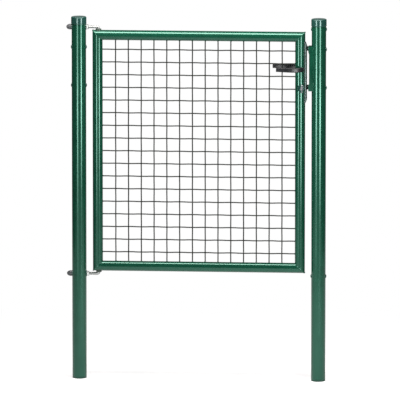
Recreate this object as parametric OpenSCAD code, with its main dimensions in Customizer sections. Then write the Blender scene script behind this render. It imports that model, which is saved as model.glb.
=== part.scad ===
// Single garden gate: a welded tube leaf with wire mesh, hung between two round steel posts.
// Origin: centre of the hinge post's foot. +X towards the latch post, +Z up, the leaf opens towards -Y.

/* [Leaf] */
// Width of the leaf over its tubes
leaf_width = 886.5; // [500:0.5:1200]
// Height of the leaf over its tubes
leaf_height = 1016; // [600:1:1600]
// Outer diameter of the leaf's tubes
frame_d = 42; // [34:0.5:52]
// Wall of the leaf's tubes
frame_wall = 2; // [1.5:0.1:3]

/* [Posts] */
// Outer diameter of both posts
post_d = 60; // [48:0.5:76]
// Wall of both posts
post_wall = 2; // [1.5:0.1:4]
// From the foot of the posts to the underside of the leaf
foot_length = 456; // [300:1:800]
// Post tube above the top of the leaf
post_over = 51.5; // [35:0.5:120]
// Gap between the hinge post and the leaf
hinge_gap = 27; // [22:0.5:40]
// Gap between the latch post and the leaf
latch_gap = 26.5; // [24:0.5:40]
// Gap between the cap's skirt and the hinge's washer
cap_gap = 1.5; // [0.5:0.5:6]
// Wall of the cap's skirt
cap_wall = 2; // [1:0.1:3]
// Thickness of the cap's crown
cap_crown = 5; // [3:0.5:10]

/* [Wire mesh] */
// Wire diameter
wire_d = 5; // [3:0.1:6]
// Clear opening between two wires
mesh_opening = 48.4; // [30:0.1:80]
// Least distance from the last wire to the frame
mesh_edge = 35; // [20:1:60]

/* [Hinges] */
// Diameter of the bent hinge rods
rod_d = 12; // [10:0.5:16]
// Distance from the middle of the hinge stile to the pivot line
pivot_shift = 4; // [0:0.5:6]
// Length of the pin below the bend
pin_length = 32; // [20:1:50]
// Wall of the hinge bush
bush_wall = 2; // [1.5:0.5:3]
// Height of the bush's flange above the leaf
bush_flange = 5; // [3:0.5:8]
// Length of the bush inside the leaf
bush_depth = 22; // [12:1:30]
// Depth of the domed cap over the outer nut
dome_depth = 22; // [20:0.5:30]

/* [Strike] */
// Distance of the strike's face from the post
strike_stand = 13; // [8:0.5:18]
// Width of the strike channel
strike_width = 40; // [34:1:44]
// Height of the strike channel
strike_height = 187; // [170:1:260]
// Sheet thickness of the strike
strike_wall = 2.5; // [2:0.5:4]
// Depth of the long recess in the strike's face
strike_recess = 3; // [3:0.5:6]
// Diameter of the strike's bolts
bolt_d = 8; // [6:1:10]

/* [Lock] */
// From the top of the leaf to the handle's axis
handle_drop = 155; // [130:1:400]
// From the handle's axis to the key cylinder's axis
lock_centres = 72; // [60:1:92]
// Length of the lock's faceplate
plate_length = 256; // [240:1:290]
// Width of the lock's faceplate
plate_width = 26; // [22:1:32]
// Distance that the faceplate stands out from the tube
plate_stand = 7.5; // [4:0.5:8]
// Sheet thickness of the faceplate
plate_wall = 2.5; // [2:0.5:3]
// From the faceplate's face to the handle's axis
backset = 21.5; // [18:0.5:28]
// Length of the key cylinder
cylinder_length = 64; // [50:1:90]

/* [Handle] */
// From the handle's axis to the tip of the front lever
lever_length = 105; // [90:1:140]
// From the handle's axis to the tip of the back lever
back_lever_length = 125; // [90:1:140]
// From the middle of the leaf to the middle of the grip
lever_reach = 50; // [46:1:70]
// From the handle's axis to the straight part of the grip
crank_length = 50; // [40:1:60]
// Height of the lever at the handle's axis
root_height = 20; // [18:0.5:22]
// Height of the lever at its tip
tip_height = 15; // [8:0.5:17]
// Thickness of the grip
grip_depth = 11; // [8:0.5:16]
// Diameter of the lever's neck
neck_d = 16; // [14:0.5:17]
// Side of the square spindle
spindle_side = 8; // [7:0.5:10]

/* [Clearances] */
// Radial play of a pin in its bush
pin_play = 0.1; // [0.05:0.01:0.1]
// Play between a turning piece and its ring, and at a stop
turn_play = 0.3; // [0.2:0.1:0.5]
// Radial play of a rod, bolt or sleeve in its hole
hole_play = 0.25; // [0.1:0.05:0.5]
// Height of the bend above the bush's flange
flange_play = 0.5; // [0.3:0.1:1]

/* [Hidden] */
$fn = 96;
// how far a cutting shape runs past what it cuts
over = 1;

post_r = post_d / 2;
frame_r = frame_d / 2;
leaf_left = post_r + hinge_gap;
leaf_right = leaf_left + leaf_width;
leaf_bottom = foot_length;
leaf_top = leaf_bottom + leaf_height;
latch_x = leaf_right + latch_gap + post_r;
post_height = leaf_top + post_over;
hinge_stile_x = leaf_left + frame_r;
latch_stile_x = leaf_right - frame_r;

// a square wire of the round wire's section keeps its weight
wire_side = wire_d * sqrt(PI) / 2;
mesh_pitch = mesh_opening + wire_d;
inner_width = leaf_width - 2 * frame_d;
inner_height = leaf_height - 2 * frame_d;
columns = 1 + floor((inner_width - 2 * mesh_edge) / mesh_pitch);
rows = 1 + floor((inner_height - 2 * mesh_edge) / mesh_pitch);

pivot_x = hinge_stile_x + pivot_shift;
rod_bend = rod_d / 2 + over;
rod_rise = bush_flange + flange_play + rod_bend;
bush_d = rod_d + 2 * pin_play + 2 * bush_wall;
flange_d = bush_d + 4;
nut_flats = 1.5 * rod_d;
nut_r = nut_flats / 2 / cos(30);
nut_height = 0.75 * rod_d;
washer_d = 2 * rod_d;
washer_height = 2;
cap_skirt = post_over - rod_rise - washer_d / 2 - cap_gap;
dome_wall = 1.1;
dome_r = nut_r + dome_wall + hole_play;
rod_past_nut = 3;

plug_d = 16;
plug_rise = 3.5;
plug_stem = 8;
plug_rim = 1.2;

handle_z = leaf_top - handle_drop;
strike_lift = 2.5;
cylinder_z = handle_z - lock_centres;
strike_top = handle_z + strike_height / 2 + strike_lift;
strike_bottom = strike_top - strike_height;
strike_face = latch_x - post_r - strike_stand;
strike_end = 24;
strike_taper = 8;
strike_bolt_inset = 13;
strike_bolt_z = [strike_top - strike_bolt_inset, strike_bottom + strike_bolt_inset];
stop_height = 20;
stop_inset = 2;
stop_reach = 16;
flat_nut_d = 2 * bolt_d;
flat_nut_height = 0.3 * bolt_d;

plate_face = leaf_right + plate_stand;
lock_x = plate_face - backset;
plate_top = handle_z + 0.445 * plate_length;
plate_bottom = plate_top - plate_length;
plate_chamfer = 5;
plate_chamfer_rise = 14;
case_margin = 18;
case_width = plate_width / 2;
case_wall = 1.5;
case_left = latch_stile_x - frame_r + frame_wall + 3;
case_right = plate_face - plate_wall;
case_top = plate_top - case_margin;
case_bottom = plate_bottom + case_margin;
latch_bolt_z = handle_z + 24;
latch_bolt_height = 18;
dead_bolt_z = cylinder_z + 24;
dead_bolt_height = 28;
bolt_length = 20;

profile_d = 17;
profile_web = 10;
profile_height = 33;
hub_d = 2 * spindle_side;
rose_d = neck_d + 4;
rose_height = 4;
hub_depth = 6;
tip_drop = 1;
tip_r = 2;

green = "#1d5c43";
dark_green = "#20463f";
zinc = "#9aa09c";
black = "#2a2c2e";

// ---- shared shapes -----------------------------------------------------------------------------

// a cylinder along X from x0 to x1
module along_x(d, x0, x1) {
    translate([x0, 0, 0]) rotate([0, 90, 0]) cylinder(d = d, h = x1 - x0);
}

// a cylinder along Y from y0 to y1
module along_y(d, y0, y1) {
    translate([0, y1, 0]) rotate([90, 0, 0]) cylinder(d = d, h = y1 - y0);
}

// a tube along X, mitred at 45 degrees at both ends, longest along its upper edge
module mitred_tube(length) {
    intersection() {
        difference() {
            along_x(frame_d, 0, length);
            along_x(frame_d - 2 * frame_wall, -over, length + over);
        }
        rotate([90, 0, 0]) linear_extrude(height = frame_d + 2 * over, center = true)
            polygon([
                [-over, frame_r + over], [length + over, frame_r + over],
                [length - frame_d - over, -frame_r - over], [frame_d + over, -frame_r - over]
            ]);
    }
}

// an upright stile with its long edge towards -X, from the leaf's underside
module stile() {
    rotate([0, -90, 0]) mitred_tube(leaf_height);
}

// places the top hinge's pieces, or mirrors them to the leaf's underside
module at_hinge(top) {
    if (top) translate([0, 0, leaf_top]) children();
    else translate([0, 0, leaf_bottom]) mirror([0, 0, 1]) children();
}

// a round domed head on a post's wall, its axis along +X through the post's centre
module post_head() {
    dome_rise = plug_rise - plug_rim;
    sphere_r = (plug_d * plug_d / 4 + dome_rise * dome_rise) / (2 * dome_rise);
    difference() {
        rotate([0, 90, 0]) rotate_extrude() union() {
            translate([0, post_r / 2]) square([plug_d / 2, post_r / 2 + plug_rim]);
            intersection() {
                translate([0, post_r + plug_rise - sphere_r]) circle(r = sphere_r, $fn = 8 * $fn);
                translate([0, post_r + plug_rim - over]) square([plug_d / 2, plug_rise + over]);
            }
        }
        cylinder(d = post_d, h = 2 * plug_d, center = true);
    }
}

// a push-in plug: head on the wall, stem through the hole
module post_plug() {
    union() {
        post_head();
        along_x(rod_d, post_r - post_wall - plug_stem, post_r);
    }
}

module plug_pair(x, z) {
    color(dark_green) translate([x, 0, z]) {
        post_plug();
        mirror([1, 0, 0]) post_plug();
    }
}

// section of a profile key cylinder, its key axis at the origin
module key_profile(play) {
    union() {
        circle(d = profile_d + 2 * play);
        low = profile_height - profile_d / 2 - profile_web / 2;
        translate([-profile_web / 2 - play, -low]) square([profile_web + 2 * play, low]);
        translate([0, -low]) circle(d = profile_web + 2 * play);
    }
}

// the key profile run through the leaf from front to back
module key_bore(play, length) {
    translate([lock_x, 0, cylinder_z]) rotate([90, 0, 0])
        linear_extrude(height = length, center = true) key_profile(play);
}

// ---- posts -------------------------------------------------------------------------------------

// round holes through both walls of a post at the heights in the list
module post_holes(x, heights, d) {
    for (z = heights) translate([x, 0, z]) along_x(d, -post_r - over, post_r + over);
}

rod_heights = [leaf_top + rod_rise, leaf_bottom - rod_rise];

module post(x, rod_hole_d, bolt_hole_d) {
    color(green) difference() {
        translate([x, 0, 0]) cylinder(d = post_d, h = post_height);
        translate([x, 0, -over]) cylinder(d = post_d - 2 * post_wall, h = post_height + 2 * over);
        post_holes(x, rod_heights, rod_hole_d);
        post_holes(x, strike_bolt_z, bolt_hole_d);
    }
}

hole_d = rod_d + 2 * hole_play;
module hinge_post() { post(0, hole_d, hole_d); }
module latch_post() { post(latch_x, hole_d, bolt_d + 2 * hole_play); }

module post_cap(x) {
    edge_r = cap_crown - over;
    outer_r = post_r + hole_play + cap_wall;
    color(dark_green) translate([x, 0, post_height]) rotate_extrude() {
        difference() {
            union() {
                translate([0, -cap_skirt]) square([outer_r, cap_skirt + cap_crown - edge_r]);
                square([outer_r - edge_r, cap_crown]);
                translate([outer_r - edge_r, cap_crown - edge_r]) intersection() {
                    circle(r = edge_r);
                    square(edge_r);
                }
            }
            translate([0, -cap_skirt - over]) square([post_r + hole_play, cap_skirt + over]);
        }
    }
}

module hinge_post_cap() { post_cap(0); }
module latch_post_cap() { post_cap(latch_x); }

module hinge_post_plugs_upper() { plug_pair(0, strike_bolt_z[0]); }
module hinge_post_plugs_lower() { plug_pair(0, strike_bolt_z[1]); }
module latch_post_plugs_top() { plug_pair(latch_x, rod_heights[0]); }
module latch_post_plugs_bottom() { plug_pair(latch_x, rod_heights[1]); }

// ---- hinges ------------------------------------------------------------------------------------

rod_outer_end = -post_r - nut_height - rod_past_nut;

// a rod through the post, bent square, its short leg standing in the leaf's bush
module hinge_rod(top) {
    color(zinc) at_hinge(top) union() {
        translate([0, 0, rod_rise]) along_x(rod_d, rod_outer_end, pivot_x - rod_bend);
        translate([pivot_x - rod_bend, 0, rod_rise - rod_bend]) rotate([90, 0, 0])
            rotate_extrude(angle = 90) translate([rod_bend, 0]) circle(d = rod_d);
        translate([pivot_x, 0, rod_rise - rod_bend - pin_length]) cylinder(d = rod_d, h = pin_length);
    }
}

module hinge_washer(top) {
    color(zinc) at_hinge(top) translate([0, 0, rod_rise]) difference() {
        along_x(washer_d, post_r, post_r + washer_height);
        along_x(hole_d, post_r - over, post_r + washer_height + over);
    }
}

// a hexagon nut along X from x0
module hinge_nut(top, x0) {
    color(zinc) at_hinge(top) translate([x0, 0, rod_rise]) difference() {
        rotate([0, 90, 0]) cylinder(r = nut_r, h = nut_height, $fn = 6);
        along_x(rod_d + 2 * pin_play, -over, nut_height + over);
    }
}

// a hollow domed cap over the outer nut, its rim shaped to the post
module hinge_dome(top) {
    straight = dome_depth - dome_r;
    color(black) at_hinge(top) translate([0, 0, rod_rise]) mirror([1, 0, 0]) difference() {
        union() {
            along_x(2 * dome_r, 0, post_r + straight);
            translate([post_r + straight, 0, 0]) sphere(r = dome_r);
        }
        cylinder(d = post_d, h = 4 * dome_r, center = true);
        along_x(2 * (nut_r + hole_play), 0, post_r + nut_height + turn_play);
        along_x(hole_d, 0, post_r + nut_height + rod_past_nut + turn_play);
    }
}

module hinge_rod_top() { hinge_rod(true); }
module hinge_rod_bottom() { hinge_rod(false); }
module hinge_washer_top() { hinge_washer(true); }
module hinge_washer_bottom() { hinge_washer(false); }
module hinge_nut_inner_top() { hinge_nut(true, post_r + washer_height); }
module hinge_nut_inner_bottom() { hinge_nut(false, post_r + washer_height); }
module hinge_nut_outer_top() { hinge_nut(true, -post_r - nut_height); }
module hinge_nut_outer_bottom() { hinge_nut(false, -post_r - nut_height); }
module hinge_dome_top() { hinge_dome(true); }
module hinge_dome_bottom() { hinge_dome(false); }

// ---- strike on the latch post ------------------------------------------------------------------

strike_half = strike_width / 2;
strike_back = latch_x - sqrt(post_r * post_r - strike_half * strike_half);

// outline of the strike from the side: full at its ends, set back between two tapers
module strike_side() {
    z = [strike_bottom, strike_bottom + strike_end, strike_bottom + strike_end + strike_taper,
         strike_top - strike_end - strike_taper, strike_top - strike_end, strike_top];
    polygon([
        [strike_face, z[0]], [strike_back, z[0]], [strike_back, z[5]], [strike_face, z[5]],
        [strike_face, z[4]], [strike_face + strike_recess, z[3]],
        [strike_face + strike_recess, z[2]], [strike_face, z[1]]
    ]);
}

// a U-channel whose flanges meet the post, with two stop tabs on its rear flange
module strike_channel() {
    color(green) difference() {
        union() {
            rotate([90, 0, 0]) linear_extrude(height = strike_width, center = true) strike_side();
            for (z = [strike_top - stop_inset - stop_height, strike_bottom + stop_inset])
                translate([strike_face - stop_reach, strike_half - strike_wall, z])
                    cube([stop_reach + strike_wall, strike_wall, stop_height]);
        }
        translate([strike_face + strike_wall, -strike_half + strike_wall, strike_bottom - over])
            cube([post_d, strike_width - 2 * strike_wall, strike_height + 2 * over]);
        translate([latch_x, 0, strike_bottom - over]) cylinder(d = post_d, h = strike_height + 2 * over);
        for (z = strike_bolt_z) translate([0, 0, z])
            along_x(bolt_d + 2 * hole_play, strike_face - over, strike_face + strike_wall + over);
    }
}

// a bolt from the post's outer side through both walls to the strike
module strike_bolt(z) {
    color(dark_green) translate([latch_x, 0, z]) union() {
        post_head();
        along_x(bolt_d, strike_face - flat_nut_height - latch_x, post_r);
    }
}

module strike_nut(z) {
    color(zinc) translate([strike_face - flat_nut_height, 0, z]) difference() {
        along_x(flat_nut_d, 0, flat_nut_height);
        along_x(bolt_d + 2 * pin_play, -over, flat_nut_height + over);
    }
}

// a rubber pad on a stop tab, just clear of the closed faceplate
module stop_buffer(z) {
    pad_front = plate_width / 2 + turn_play;
    color(black) translate([strike_face - stop_reach, pad_front, z + over])
        cube([stop_reach - turn_play, strike_half - strike_wall - pad_front, stop_height - 2 * over]);
}

module strike_bolt_top() { strike_bolt(strike_bolt_z[0]); }
module strike_bolt_bottom() { strike_bolt(strike_bolt_z[1]); }
module strike_nut_top() { strike_nut(strike_bolt_z[0]); }
module strike_nut_bottom() { strike_nut(strike_bolt_z[1]); }
module stop_buffer_top() { stop_buffer(strike_top - stop_inset - stop_height); }
module stop_buffer_bottom() { stop_buffer(strike_bottom + stop_inset); }

// ---- leaf --------------------------------------------------------------------------------------

module bush_hole(top) {
    at_hinge(top) translate([pivot_x, 0, -bush_depth]) cylinder(d = bush_d, h = bush_depth + over);
}

module hinge_stile() {
    color(green) difference() {
        translate([hinge_stile_x, 0, leaf_bottom]) stile();
        for (top = [true, false]) bush_hole(top);
    }
}

module latch_stile() {
    color(green) difference() {
        translate([latch_stile_x, 0, leaf_bottom]) mirror([1, 0, 0]) stile();
        translate([latch_stile_x, -case_width / 2 - hole_play, case_bottom - hole_play])
            cube([frame_d, case_width + 2 * hole_play, case_top - case_bottom + 2 * hole_play]);
        translate([lock_x, 0, handle_z])
            along_y(spindle_side * sqrt(2) + 2 * over, -frame_d, frame_d);
        key_bore(hole_play, 2 * frame_d);
    }
}

module top_rail() {
    color(green) difference() {
        translate([leaf_left, 0, leaf_top - frame_r]) mitred_tube(leaf_width);
        bush_hole(true);
    }
}

module bottom_rail() {
    color(green) difference() {
        translate([leaf_left, 0, leaf_bottom + frame_r]) mirror([0, 0, 1]) mitred_tube(leaf_width);
        bush_hole(false);
    }
}

// square wires in one plane, fused where they cross, spaced evenly about the middle of the leaf
module mesh_panel() {
    first_x = (leaf_left + leaf_right - (columns - 1) * mesh_pitch) / 2;
    first_z = (leaf_bottom + leaf_top - (rows - 1) * mesh_pitch) / 2;
    color(zinc) rotate([90, 0, 0]) linear_extrude(height = wire_side, center = true) union() {
        for (i = [0 : columns - 1])
            translate([first_x + i * mesh_pitch - wire_side / 2, leaf_bottom + frame_d])
                square([wire_side, inner_height]);
        for (i = [0 : rows - 1])
            translate([leaf_left + frame_d, first_z + i * mesh_pitch - wire_side / 2])
                square([inner_width, wire_side]);
    }
}

// a flanged bush in the corner of the leaf, its flange shaped to the rail
module hinge_bush(top) {
    color(black) at_hinge(top) translate([pivot_x, 0, 0]) difference() {
        union() {
            translate([0, 0, -bush_depth]) cylinder(d = bush_d, h = bush_depth + bush_flange);
            difference() {
                translate([0, 0, -frame_r / 2]) cylinder(d = flange_d, h = frame_r / 2 + bush_flange);
                translate([0, 0, -frame_r]) along_x(frame_d, -flange_d, flange_d);
            }
        }
        translate([0, 0, -bush_depth - over])
            cylinder(d = rod_d + 2 * pin_play, h = bush_depth + bush_flange + 2 * over);
    }
}

module hinge_bush_top() { hinge_bush(true); }
module hinge_bush_bottom() { hinge_bush(false); }

// ---- lock --------------------------------------------------------------------------------------

// a box in the case's width, from x0 to the faceplate's face or past it
module lock_block(x0, x1, z, height, width) {
    translate([x0, -width / 2, z - height / 2]) cube([x1 - x0, width, height]);
}

bolt_width = case_width - 2 * case_wall;

// the sheet box inside the stile that carries the bolts, the handle's hub and the key cylinder
module lock_case() {
    color(zinc) difference() {
        translate([case_left, -case_width / 2, case_bottom])
            cube([case_right - case_left, case_width, case_top - case_bottom]);
        translate([case_left + case_wall, -bolt_width / 2, case_bottom + case_wall])
            cube([case_right - case_left - 2 * case_wall, bolt_width,
                  case_top - case_bottom - 2 * case_wall]);
        translate([lock_x, 0, handle_z]) along_y(hub_d + 2 * pin_play, -case_width, case_width);
        key_bore(hole_play, 2 * case_width);
        lock_block(case_right - 2 * case_wall, case_right + over,
                   latch_bolt_z, latch_bolt_height, bolt_width);
        lock_block(case_right - 2 * case_wall, case_right + over,
                   dead_bolt_z, dead_bolt_height, bolt_width);
    }
}

// outline of the faceplate from the side, its outer corners cut back, drawn in by the inset
module plate_side(inset) {
    z = [plate_bottom + inset, plate_bottom + plate_chamfer_rise + inset,
         plate_top - plate_chamfer_rise - inset, plate_top - inset];
    face = plate_face - inset;
    polygon([
        [latch_stile_x, z[0]], [face - plate_chamfer, z[0]], [face, z[1]],
        [face, z[2]], [face - plate_chamfer, z[3]], [latch_stile_x, z[3]]
    ]);
}

// a channel over the notched side of the stile, its edges shaped to the tube
module lock_faceplate() {
    color(zinc) difference() {
        rotate([90, 0, 0]) linear_extrude(height = plate_width, center = true) plate_side(0);
        rotate([90, 0, 0]) linear_extrude(height = plate_width - 2 * plate_wall, center = true)
            plate_side(plate_wall);
        translate([latch_stile_x, 0, plate_bottom - over])
            cylinder(d = frame_d, h = plate_length + 2 * over);
        lock_block(case_right - over, plate_face + over, latch_bolt_z, latch_bolt_height, bolt_width);
        lock_block(case_right - over, plate_face + over, dead_bolt_z, dead_bolt_height, bolt_width);
    }
}

bolt_tail = plate_face - bolt_length;

module latch_bolt() {
    color(zinc) lock_block(bolt_tail, plate_face, latch_bolt_z, latch_bolt_height, bolt_width);
}

module dead_bolt() {
    color(zinc) lock_block(bolt_tail, plate_face, dead_bolt_z, dead_bolt_height, bolt_width);
}

module lock_cylinder() {
    color(zinc) key_bore(0, cylinder_length);
}

// ---- handle ------------------------------------------------------------------------------------

// a ring on the stile round the lever's neck
module handle_rose_front() {
    color(black) difference() {
        translate([lock_x, 0, handle_z])
            along_y(rose_d, -frame_r - rose_height, -plate_width / 2 - over);
        translate([lock_x, 0, handle_z])
            along_y(neck_d + 2 * turn_play, -frame_r - rose_height - over, 0);
        translate([latch_stile_x, 0, handle_z]) cylinder(d = frame_d, h = 2 * rose_d, center = true);
    }
}

module handle_rose_back() { mirror([0, 1, 0]) handle_rose_front(); }

// outline of the lever from the front: round at its root, its lower edge rising to the tip
module lever_outline(length) {
    tip_top = root_height / 2 - tip_drop;
    tip_x = tip_r - length;
    union() {
        circle(d = root_height);
        polygon([
            [0, root_height / 2], [tip_x, tip_top], [-length, tip_top - tip_r],
            [-length, tip_top - tip_height + tip_r], [tip_x, tip_top - tip_height],
            [0, -root_height / 2]
        ]);
        for (z = [tip_top - tip_r, tip_top - tip_height + tip_r]) translate([tip_x, z]) circle(r = tip_r);
    }
}

lever_near = frame_r + rose_height + flange_play;
grip_near = lever_reach - grip_depth / 2;
grip_far = lever_reach + grip_depth / 2;
spindle_reach = lever_near + hub_depth;
crank_depth = 6;

// outline of the front lever from above: bent outwards in two steps from its hub, then straight
module lever_plan(length) {
    polygon([
        [-length, -grip_far], [-crank_length, -grip_far],
        [-0.4 * crank_length, -grip_far + crank_depth], [root_height / 2, -spindle_reach],
        [root_height / 2, -lever_near], [0, -lever_near],
        [-0.8 * crank_length, -grip_near], [-length, -grip_near]
    ]);
}

// a lever with its neck on the spindle and its grip pointing to the hinge side
module lever(length) {
    color(black) translate([lock_x, 0, handle_z]) difference() {
        union() {
            along_y(neck_d, -lever_near - over, -frame_r - over);
            intersection() {
                linear_extrude(height = 2 * root_height, center = true) lever_plan(length);
                rotate([90, 0, 0]) linear_extrude(height = grip_far + over) lever_outline(length);
            }
        }
        translate([-spindle_side / 2, -spindle_reach, -spindle_side / 2])
            cube([spindle_side, spindle_reach, spindle_side]);
    }
}

module lever_front() { lever(lever_length); }
module lever_back() { mirror([0, 1, 0]) lever(back_lever_length); }

// the square bar through both levers, with the round hub that turns in the lock case
module spindle() {
    color(zinc) translate([lock_x, 0, handle_z]) union() {
        cube([spindle_side, 2 * spindle_reach, spindle_side], center = true);
        along_y(hub_d, -case_width / 2, case_width / 2);
    }
}

// ---- assembly ----------------------------------------------------------------------------------

hinge_post();
latch_post();
hinge_post_cap();
latch_post_cap();
hinge_post_plugs_upper();
hinge_post_plugs_lower();
latch_post_plugs_top();
latch_post_plugs_bottom();
hinge_rod_top();
hinge_rod_bottom();
hinge_washer_top();
hinge_washer_bottom();
hinge_nut_inner_top();
hinge_nut_inner_bottom();
hinge_nut_outer_top();
hinge_nut_outer_bottom();
hinge_dome_top();
hinge_dome_bottom();
strike_channel();
strike_bolt_top();
strike_bolt_bottom();
strike_nut_top();
strike_nut_bottom();
stop_buffer_top();
stop_buffer_bottom();
hinge_stile();
latch_stile();
top_rail();
bottom_rail();
mesh_panel();
hinge_bush_top();
hinge_bush_bottom();
lock_case();
lock_faceplate();
latch_bolt();
dead_bolt();
lock_cylinder();
handle_rose_front();
handle_rose_back();
lever_front();
lever_back();
spindle();
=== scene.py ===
# Steel garden gate: round powder coated posts and leaf, crimped wire panel, lever handles.
import math
import bmesh
import bpy
import numpy as np
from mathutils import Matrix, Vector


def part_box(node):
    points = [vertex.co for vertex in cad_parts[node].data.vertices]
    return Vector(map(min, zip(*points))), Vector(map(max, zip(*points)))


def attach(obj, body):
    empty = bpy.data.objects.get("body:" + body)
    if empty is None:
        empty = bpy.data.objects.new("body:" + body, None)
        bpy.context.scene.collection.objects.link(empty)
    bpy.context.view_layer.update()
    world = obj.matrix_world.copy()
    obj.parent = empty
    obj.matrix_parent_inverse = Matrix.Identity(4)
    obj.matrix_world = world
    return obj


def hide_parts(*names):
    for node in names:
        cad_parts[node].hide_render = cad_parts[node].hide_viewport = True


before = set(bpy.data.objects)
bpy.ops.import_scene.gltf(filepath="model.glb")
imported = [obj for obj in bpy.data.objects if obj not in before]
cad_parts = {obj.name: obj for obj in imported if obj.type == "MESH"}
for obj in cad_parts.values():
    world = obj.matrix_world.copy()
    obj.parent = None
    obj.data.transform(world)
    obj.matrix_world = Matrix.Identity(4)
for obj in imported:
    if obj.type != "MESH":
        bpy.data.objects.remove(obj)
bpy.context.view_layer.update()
scene = bpy.context.scene
mm = 0.001
print("stage 1: frame loaded")


def boxOf(node):
    # lowest and highest corner of a frame node, in millimetres
    low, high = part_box(node)
    return np.array(low) / mm, np.array(high) / mm


def srgb(code):
    # hex colour to linear: each channel is divided by 255, then undone from the sRGB curve
    c = np.array([int(code[i:i + 2], 16) for i in (0, 2, 4)]) / 255
    c = np.where(c <= 0.04045, c / 12.92, ((c + 0.055) / 1.055) ** 2.4)
    return (*c.tolist(), 1.0)


def smooth(a, b, x):
    # 0 before a, 1 after b, and an S-curve 3t^2 - 2t^3 between
    t = np.clip((x - a) / (b - a), 0, 1)
    return t * t * (3 - 2 * t)


def angles(count):
    # that many even angles round a full turn
    return np.linspace(0, 2 * np.pi, count, endpoint=False)


def ringAround(axis, u):
    # a unit circle round an axis: cos u * side + sin u * up
    side = np.array([0, 1, 0]) if abs(axis[1]) < 0.5 else np.array([1, 0, 0])
    up = np.cross(axis, side)
    return np.cos(u)[:, None] * side + np.sin(u)[:, None] * up


def shell(points, closedLoop=False):
    # a closed skin from rings of points, shape (rings, sides, 3): neighbouring rings are joined
    # by quads, and either the last ring joins the first or each end ring closes on its middle
    rings, sides = points.shape[:2]
    index = np.arange(rings * sides).reshape(rings, sides)
    if closedLoop:
        index = np.vstack([index, index[:1]])
    right = np.roll(index, -1, axis=1)
    quads = np.stack([index[:-1], right[:-1], right[1:], index[1:]], axis=-1).reshape(-1, 4)
    flat = points.reshape(-1, 3)
    a, b, c, d = (flat[quads[:, k]] for k in range(4))
    middle = flat.mean(axis=0)
    volume = np.einsum("ij,ij->", a - middle, np.cross(b - a, c - a))
    volume += np.einsum("ij,ij->", a - middle, np.cross(c - a, d - a))
    faces = quads.tolist()
    if not closedLoop:
        ends = np.stack([points[0].mean(axis=0), points[-1].mean(axis=0)])
        flat = np.vstack([flat, ends])
        first, last = index[0], index[-1]
        n = rings * sides
        faces += np.stack([np.full(sides, n), np.roll(first, -1), first], axis=-1).tolist()
        faces += np.stack([np.full(sides, n + 1), last, np.roll(last, -1)], axis=-1).tolist()
    if volume < 0:
        faces = [face[::-1] for face in faces]
    return flat, faces


def joined(shells):
    # several skins in one mesh: the points are stacked and the face numbers moved along
    starts = np.cumsum([0] + [len(points) for points, _ in shells])
    faces = [[i + start for i in face] for (_, part), start in zip(shells, starts) for face in part]
    return np.vstack([points for points, _ in shells]), faces


def mount(name, mesh, body, material, nodes):
    # makes a mesh a piece of one material that rides on a body and stands in for frame nodes
    mesh.materials.clear()
    mesh.materials.append(material)
    piece = bpy.data.objects.new(name, mesh)
    scene.collection.objects.link(piece)
    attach(piece, body)
    if nodes:
        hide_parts(*nodes)
    return piece


def addPiece(name, skin, body, material, nodes=(), sharp=35):
    # puts a skin in millimetres into a mesh in metres, shaded smooth up to the sharp angle
    points, faces = skin
    mesh = bpy.data.meshes.new(name)
    mesh.from_pydata((points * mm).tolist(), [], faces)
    mesh.polygons.foreach_set("use_smooth", np.ones(len(faces), bool))
    mesh.set_sharp_from_angle(angle=math.radians(sharp))
    mount(name, mesh, body, material, nodes)


def turned(profile, origin, axis, sides, closedLoop=False):
    # a profile of (radius, distance along the axis) turned about the axis:
    # point = origin + along * axis + radius * (cos u * side + sin u * up)
    profile = np.array(profile, float)
    radius, along = profile[:, 0, None, None], profile[:, 1, None, None]
    points = np.array(origin, float) + along * np.array(axis, float)
    return shell(points + radius * ringAround(axis, angles(sides)), closedLoop)


def rounded(corner, start, end, radius, steps):
    # a corner of a profile cut by a curve: the quadratic curve from one side to the other
    corner, start, end = (np.array(p, float) for p in (corner, start, end))
    a = corner + (start - corner) / np.linalg.norm(start - corner) * radius
    b = corner + (end - corner) / np.linalg.norm(end - corner) * radius
    t = np.linspace(0, 1, steps)[:, None]
    return ((1 - t) ** 2 * a + 2 * t * (1 - t) * corner + t ** 2 * b).tolist()


def outline(points, radii, steps=5):
    # a profile with its inner corners rounded, the first and last point kept
    out = [list(points[0])]
    for before, corner, after, radius in zip(points, points[1:], points[2:], radii):
        out += rounded(corner, before, after, radius, steps) if radius else [list(corner)]
    return out + [list(points[-1])]


def carried(path, side, up, halfWide, halfHigh, power, sides):
    # a superellipse carried along a path: point = path + halfWide * c(u) * side
    # + halfHigh * s(u) * up, where c and s are cos and sin raised to 2 / power, sign kept.
    # A half size is one number, one for each ring or one for each point of each ring
    u = angles(sides)
    power = np.broadcast_to(power, len(path))[:, None]
    c = np.sign(np.cos(u)) * np.abs(np.cos(u)) ** (2 / power)
    s = np.sign(np.sin(u)) * np.abs(np.sin(u)) ** (2 / power)
    wide, high = (half if np.ndim(half) == 2 else np.broadcast_to(half, len(path))[:, None]
                  for half in (halfWide, halfHigh))
    side, up = (np.broadcast_to(way, path.shape)[:, None] for way in (side, up))
    return shell(path[:, None] + (wide * c)[..., None] * side + (high * s)[..., None] * up)


bevelled = {"mergeMm": 0.02, "flatDegrees": 1, "edgeDegrees": 40, "segments": 3}


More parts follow.
